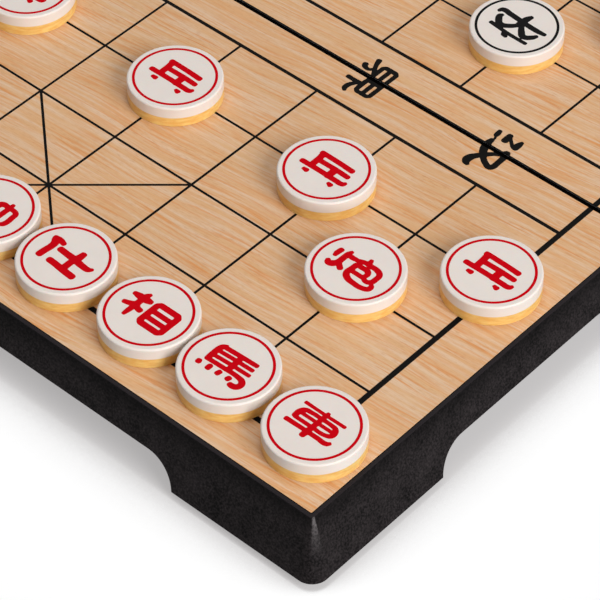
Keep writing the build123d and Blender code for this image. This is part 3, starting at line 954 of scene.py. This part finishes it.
def drawCharacter(name):
    bpy.ops.object.add(type="CURVE", location=(0, 0, 0))
    curve = bpy.context.object.data
    curve.dimensions = "3D"
    curve.bevel_depth = 1.0  # the points' radii are the half widths
    curve.bevel_resolution = brush["roundness"]
    curve.resolution_u = brush["curveSteps"]
    curve.use_fill_caps = True
    for stroke in characters[name]:
        points = roundedStroke(stroke)
        spline = curve.splines.new("BEZIER")
        spline.bezier_points.add(len(points) - 1)
        for point, (x, y, half) in zip(spline.bezier_points, points):
            point.co = (x, y, 0)
            point.radius = half + brush["spread"]
            point.handle_left_type = point.handle_right_type = "AUTO"
    bpy.ops.object.convert(target="MESH")
    drawn = bpy.context.object
    remesh = drawn.modifiers.new("runTogether", "REMESH")
    remesh.mode = "VOXEL"
    remesh.voxel_size = brush["voxel"]
    bpy.ops.object.modifier_apply(modifier=remesh.name)
    smooth = drawn.modifiers.new("softenJoins", "SMOOTH")
    smooth.iterations = brush["smoothing"]
    bpy.ops.object.modifier_apply(modifier=smooth.name)
    startEdit(drawn)
    bpy.ops.mesh.bisect(plane_co=(0, 0, 0), plane_no=(0, 0, 1), use_fill=True,
                        clear_inner=True, clear_outer=True)
    bpy.ops.mesh.select_all(action="SELECT")
    bpy.ops.mesh.dissolve_limited(angle_limit=radians(brush["straightness"]))
    raiseInk()
    endEdit()
    return drawn


def drawRing():
    bpy.ops.mesh.primitive_circle_add(
        vertices=ringPrint["sides"], radius=ringPrint["radius"] + ringPrint["width"] / 2,
        fill_type="NGON")
    ring = bpy.context.object
    startEdit(ring)
    bpy.ops.mesh.inset(thickness=ringPrint["width"])
    bpy.ops.mesh.delete(type="FACE")
    raiseInk()
    endEdit()
    return ring


ringMaster = drawRing()
masters = {name: drawCharacter(name) for name in characters}
print("characters drawn:", len(masters))


def characterFor(side, kind):
    if kind in ("chariot", "horse"):
        return kind
    return side + kind.capitalize()


def printMan(node):
    side, kind = node.split("_")[:2]
    low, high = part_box(node)
    place = printPlace((low.x + high.x) / 2, (low.y + high.y) / 2, high.z,
                       180 if side == "black" else 0)
    ring = placeCopy(ringMaster, node + "_print", place, inks[side], node)
    figure = placeCopy(masters[characterFor(side, kind)], node + "_figure", place,
                       inks[side], node)
    joinPieces([ring, figure])


for node in menNames:
    printMan(node)
print("men printed")


# river characters, cut apart at the seam

river = {  # (millimetres along the river, degrees of turn): the tops face outwards
    "riverChu": (-90.5, 90),
    "riverHe": (-40.4, 90),
    "riverHan": (90.5, -90),
    "riverJie": (40.4, -90),
}
cutTolerance = 1e-7  # metres


def printRiver():
    for body, side in (("red_half", -1), ("black_half", 1)):
        seamEdge, filmTop = filmOf(body)
        halves = []
        for name, (along, turn) in river.items():
            place = printPlace(along * mm, boardPrint["shift"] * mm, filmTop, turn)
            half = placeCopy(masters[name], f"{body}_{name}", place, boardInk, body)
            startEdit(half)
            bpy.ops.mesh.bisect(
                plane_co=(0, seamEdge * side, 0), plane_no=(0, side, 0), use_fill=True,
                clear_inner=True, threshold=cutTolerance)
            endEdit()
            halves.append(half)
        joined = joinPieces(halves)
        joined.name = joined.data.name = body.replace("half", "side") + "_river_characters"


printRiver()
for master in [ringMaster] + list(masters.values()):
    removePiece(master)
print("river printed")


# floor, light and camera

studio = {
    "floorSize": 8.0,
    "floorAlbedo": 0.5,  # as the object sees it
    "floorSeen": 0.46,  # as the camera sees it, with the lift added
    "floorLift": 0.61,
    "ambient": 0.19,
    "softboxes": {  # place, width in metres, and watts
        "keySoftbox": ((2.4, -0.32, 1.62), 1.35, 60.5),
        "fillSoftbox": ((1.75, -0.95, 0.3), 0.3, 8.6),
        "topSoftbox": ((-0.1, 0.2, 2.2), 1.4, 17),
    },
    "underReach": 0.3,  # how far under the floor something hanging is looked for
    "underSamples": 96,
    "underOpen": 0.9999,  # less open than this, something hangs there
    "contactOpen": 0.995,  # more open than this, nothing stands near
    "contactReach": 0.06,  # how far the painted soft shade reaches round what stands on the floor
    "contactShade": 0.37,
    "contactRange": (0.16, 0.39),  # of the share of the sky that is hidden
    "contactCurve": 1.5,  # a power
    # warm tint of the painted contact shade
    "contactTone": (0.05, 0.004, 0.0, 1.0),
}


def makeFloor():
    bpy.ops.mesh.primitive_plane_add(size=studio["floorSize"], location=(0, 0, 0))
    floor = bpy.context.object
    floor.name = "studio_floor"
    material = bpy.data.materials.new("paleFloor")
    material.use_nodes = True
    tree = material.node_tree
    tree.nodes.clear()
    output = addNode(tree, "ShaderNodeOutputMaterial")
    albedo = studio["floorAlbedo"]
    plain = addNode(tree, "ShaderNodeBsdfDiffuse", {"Color": (albedo, albedo, albedo, 1)})
    # painted shade: the floor's colour and its lift darken where ambient occlusion finds something
    # close, as its soft contact shadow
    contact = addNode(tree, "ShaderNodeAmbientOcclusion", {"Distance": studio["contactReach"]})
    fewest, most = studio["contactRange"]
    hidden = addMath(tree, "POWER", addRange(
        tree, contact.outputs["AO"], 1 - fewest, 1 - most), studio["contactCurve"])
    contactShadeAmount = addMath(tree, "MULTIPLY", hidden, studio["contactShade"])
    contactShadedGrey = addBlend(tree, contactShadeAmount, (1, 1, 1, 1), studio["contactTone"])
    level = studio["floorSeen"]
    seen = addNode(tree, "ShaderNodeBsdfDiffuse")
    lift = addNode(tree, "ShaderNodeEmission", {"Strength": studio["floorLift"]})
    tree.links.new(addBlend(tree, 1.0, contactShadedGrey, (level, level, level, 1), "MULTIPLY"),
                   seen.inputs["Color"])
    tree.links.new(contactShadedGrey, lift.inputs["Color"])
    lifted = addNode(tree, "ShaderNodeAddShader")
    tree.links.new(seen.outputs[0], lifted.inputs[0])
    tree.links.new(lift.outputs[0], lifted.inputs[1])
    rays = addNode(tree, "ShaderNodeLightPath")
    surface = addNode(tree, "ShaderNodeMixShader")
    tree.links.new(rays.outputs["Is Camera Ray"], surface.inputs["Fac"])
    tree.links.new(plain.outputs[0], surface.inputs[1])
    tree.links.new(lifted.outputs[0], surface.inputs[2])
    # clear from below, far from what stands on it, and over what hangs under it when folded
    under = addNode(tree, "ShaderNodeAmbientOcclusion", {"Distance": studio["underReach"]},
                    inside=True, samples=studio["underSamples"])
    hanging = addMath(tree, "LESS_THAN", under.outputs["AO"], studio["underOpen"])
    below = addNode(tree, "ShaderNodeNewGeometry").outputs["Backfacing"]
    bare = addMath(tree, "GREATER_THAN", contact.outputs["AO"], studio["contactOpen"])
    alone = addMath(tree, "MULTIPLY", bare, rays.outputs["Is Camera Ray"])
    clear = addMath(tree, "MAXIMUM", alone, addMath(tree, "MAXIMUM", hanging, below))
    through = addNode(tree, "ShaderNodeBsdfTransparent")
    final = addNode(tree, "ShaderNodeMixShader")
    tree.links.new(clear, final.inputs["Fac"])
    tree.links.new(surface.outputs[0], final.inputs[1])
    tree.links.new(through.outputs[0], final.inputs[2])
    tree.links.new(final.outputs[0], output.inputs["Surface"])
    floor.data.materials.append(material)


def makeWorld():
    world = bpy.data.worlds.new("softStudio")
    bpy.context.scene.world = world
    world.use_nodes = True
    tree = world.node_tree
    tree.nodes.clear()
    output = addNode(tree, "ShaderNodeOutputWorld")
    ambient = addNode(tree, "ShaderNodeBackground", {"Strength": studio["ambient"]})
    white = addNode(tree, "ShaderNodeBackground", {"Strength": 1.0})
    for background in (ambient, white):
        background.inputs["Color"].default_value = (1, 1, 1, 1)
    rays = addNode(tree, "ShaderNodeLightPath")
    seen = addMath(tree, "MAXIMUM", rays.outputs["Is Camera Ray"],
                   rays.outputs["Is Transmission Ray"])
    seen = addMath(tree, "MAXIMUM", seen, rays.outputs["Is Glossy Ray"])
    mix = addNode(tree, "ShaderNodeMixShader")
    tree.links.new(seen, mix.inputs["Fac"])
    tree.links.new(ambient.outputs[0], mix.inputs[1])
    tree.links.new(white.outputs[0], mix.inputs[2])
    tree.links.new(mix.outputs[0], output.inputs["Surface"])


def addSoftbox(name, place, size, power):
    bpy.ops.object.light_add(type="AREA", location=place)
    lamp = bpy.context.object
    lamp.name = name
    lamp.data.shape = "SQUARE"
    lamp.data.size = size
    lamp.data.energy = power
    lamp.rotation_euler = (-Vector(place)).to_track_quat("-Z", "Y").to_euler()


makeFloor()
makeWorld()
for name, (place, size, power) in studio["softboxes"].items():
    addSoftbox(name, place, size, power)

cameraView = {
    "location": (0.50946, -0.55151, 0.66114),
    "rotation": (44.5004, 0.2714, 41.8846),  # degrees
    "lens": 185.65,  # millimetres
}
bpy.ops.object.camera_add(location=cameraView["location"],
                          rotation=[radians(angle) for angle in cameraView["rotation"]])
bpy.context.object.data.lens = cameraView["lens"]
bpy.context.scene.camera = bpy.context.object
bpy.context.scene.view_settings.view_transform = "Standard"
print("studio set")
